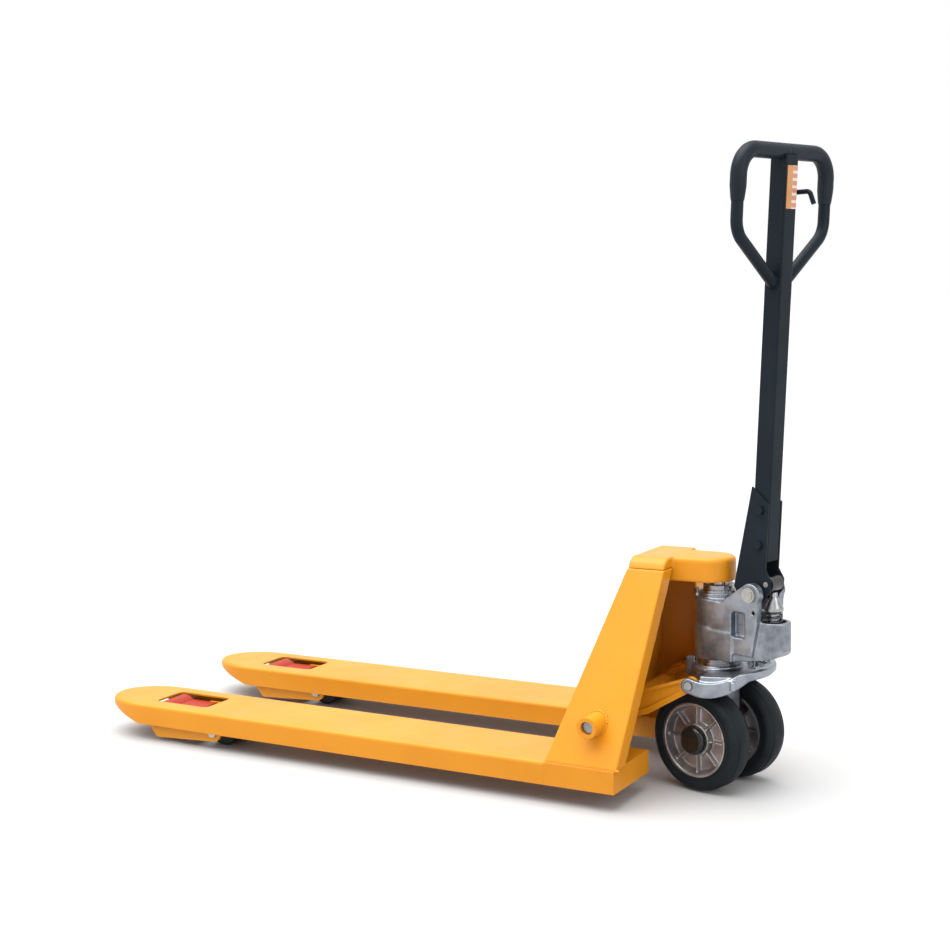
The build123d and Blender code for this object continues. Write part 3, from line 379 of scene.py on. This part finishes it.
def hose(points, radii, name="hose"):
    """Round bar through the points with its own radius at each point, closed at both ends."""
    sides = 20
    verts, faces = [], []
    previous = None
    for i, point in enumerate(points):
        ahead = points[min(i + 1, len(points) - 1)] - points[max(i - 1, 0)]
        ahead.normalize()
        if previous is None:
            across_bar = ahead.orthogonal().normalized()
        else:
            across_bar = (previous - ahead * previous.dot(ahead)).normalized()
        previous = across_bar
        third = ahead.cross(across_bar)
        for k in range(sides):
            angle = 2 * math.pi * k / sides
            verts.append(tuple(point + (across_bar * math.cos(angle) + third * math.sin(angle)) * radii[i]))
    for i in range(len(points) - 1):
        for k in range(sides):
            n = (k + 1) % sides
            faces.append((i * sides + k, i * sides + n, (i + 1) * sides + n, (i + 1) * sides + k))
    faces.append(tuple(range(sides - 1, -1, -1)))
    faces.append(tuple(range((len(points) - 1) * sides, len(points) * sides)))
    mesh = bpy.data.meshes.new(name)
    mesh.from_pydata(verts, [], faces)
    return mesh


def bead(name, points, radius, body, slot):
    """Weld bead: a bar whose radius ripples every few millimetres."""
    fine = []
    for a, b in zip(points, points[1:]):
        steps = max(2, int((b - a).length / 0.0016))
        fine += [a.lerp(b, k / steps) for k in range(steps)]
    fine.append(points[-1])
    radii = []
    for k in range(len(fine)):
        radii.append(radius * (1.0 + 0.16 * math.sin(k * 1.35) + 0.07 * math.sin(k * 0.37 + 1.0)))
    radii[0] = radii[-1] = radius * 0.4
    return new_piece(name, hose(fine, radii, name), body, slot)


# ---------- cast pieces ----------
casting("pump_housing", "casting", "pump", 0.0016, 7)
casting("bearing_yoke", "casting", "bearing", 0.0016, 6)
casting("head_bracket", "yellow", "chassis", 0.0020, 9)
for name in ("left", "right"):
    casting("rim_" + name, "rim", "wheel_" + name, 0.0014, 4)
    casting("leg_" + name, "yellow", "chassis", 0.0018, 7)

# ---------- tyres ----------
# Closed section of a tyre as (radius, distance from the pump axis), widened about PROFILE_CENTRE.
WHEEL_R, TYRE_CENTRE, PROFILE_CENTRE, TYRE_SPREAD = 0.1, 0.057, 0.060, 1.12
tyre_profile = [
    (0.0730, 0.0352), (0.0765, 0.0352), (0.0775, 0.0358), (0.0790, 0.0358), (0.0800, 0.0350), (0.0880, 0.0350),
    (0.0900, 0.0355), (0.0935, 0.0372), (0.0962, 0.0398), (0.0975, 0.0425), (0.0982, 0.0440), (0.0972, 0.0449),
    (0.0972, 0.0457), (0.0990, 0.0466), (0.1000, 0.0500), (0.1000, 0.0600), (0.1000, 0.0700), (0.0990, 0.0734),
    (0.0972, 0.0743), (0.0972, 0.0751), (0.0982, 0.0760), (0.0975, 0.0775), (0.0962, 0.0802), (0.0935, 0.0828),
    (0.0900, 0.0845), (0.0880, 0.0850), (0.0800, 0.0850), (0.0790, 0.0842), (0.0775, 0.0842), (0.0765, 0.0848),
    (0.0730, 0.0848),
]
for name, hand in (("left", -1), ("right", 1)):
    hub = Vector((steer_x, 0, WHEEL_R))
    profile = [(radius, TYRE_CENTRE + (offset - PROFILE_CENTRE) * TYRE_SPREAD) for radius, offset in tyre_profile]
    rubber = lathe(profile, hub, across * hand, 160)
    new_piece("tyre_" + name + "_rubber", rubber, "wheel_" + name, "tyre", "tyre_" + name)

# ---------- grips: thick sleeves that taper at their lower ends ----------
bar_z, half, bend = 0.813, 0.139, 0.046
GRIP_THIN, GRIP_SWELL, GRIP_TAPER, GRIP_DROP = 0.0118, 0.0032, 0.026, 0.045
for name, hand in (("left", -1), ("right", 1)):
    line = [Vector((0, hand * (half - bend) * k / 20, bar_z)) for k in range(20)]
    for k in range(17):
        angle = math.pi / 2 * k / 16
        line.append(Vector((0, hand * (half - bend + bend * math.sin(angle)), bar_z - bend + bend * math.cos(angle))))
    line += [Vector((0, hand * half, bar_z - bend - GRIP_DROP * k / 18)) for k in range(1, 19)]
    radii = []
    for k in range(len(line)):
        left_over = (len(line) - 1 - k) * 0.0025
        radii.append(GRIP_THIN + GRIP_SWELL * min(1.0, left_over / GRIP_TAPER) ** 0.8)
    line = [HANDLE @ point for point in line]
    new_piece("grip_" + name + "_sleeve", hose(line, radii, "grip"), "handle", "grip", "grip_" + name)

# ---------- weld beads ----------
fork_low, fork_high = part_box("fork_left")
heel_low, heel_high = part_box("heel_left")
shaft = Vector(joints["chassis_level"]["pos_m"])
deck = fork_high.z
width = -fork_low.y
BOSS_BEAD, BOSS_FACE, ARM_BEAD = 0.0208, 0.2315, 0.0212
LEG_RUN, LEG_RISE = 190.0, 368.0
for name, hand in (("left", -1), ("right", 1)):
    foot_y = hand * (width - 0.0035)
    foot = [Vector((fork_high.x + 0.004, foot_y, deck)), Vector((heel_high.x + 0.010, foot_y, deck))]
    bead("weld_foot_" + name, foot, 0.0026, "chassis", "yellow")
    inside = [Vector((fork_high.x + 0.006, hand * (width - 0.012), deck + 0.001)),
              Vector((fork_high.x + 0.006, hand * (width - 0.155), deck + 0.001))]
    bead("weld_panel_" + name, inside, 0.0024, "chassis", "yellow")
    ring = []
    for k in range(49):
        angle = 2 * math.pi * k / 48
        rise = BOSS_BEAD * math.sin(angle)
        ring_y = hand * (BOSS_FACE - rise * LEG_RUN / LEG_RISE)
        ring.append(Vector((shaft.x + BOSS_BEAD * math.cos(angle), ring_y, shaft.z + rise)))
    bead("weld_boss_" + name, ring, 0.0024, "chassis", "yellow")
    for gap, y in (("in", 0.0915), ("out", 0.1025)):
        arc = []
        for k in range(25):
            angle = math.radians(150 + 260 * k / 24)
            arc.append(Vector((shaft.x + ARM_BEAD * math.cos(angle), hand * y, shaft.z + ARM_BEAD * math.sin(angle))))
        bead("weld_arm_" + gap + "_" + name, arc, 0.0018, "rocker", "yellow")
    root = []
    for k in range(31):
        angle = 2 * math.pi * k / 30
        root.append(HANDLE @ Vector((0.0112 * math.cos(angle), hand * 0.0195, 0.5785 + 0.0139 * math.sin(angle))))
    bead("weld_loop_" + name, root, 0.0016, "handle", "black_paint")

ground = Graph("ground")
ground.bsdf.inputs["Base Color"].default_value = (0.42, 0.42, 0.42, 1)
ground.link(ground.span(ground.noise(3.0), 0.3, 0.7, 0.62, 0.7), ground.bsdf.inputs["Roughness"])
floor_mesh.materials.append(ground.material)
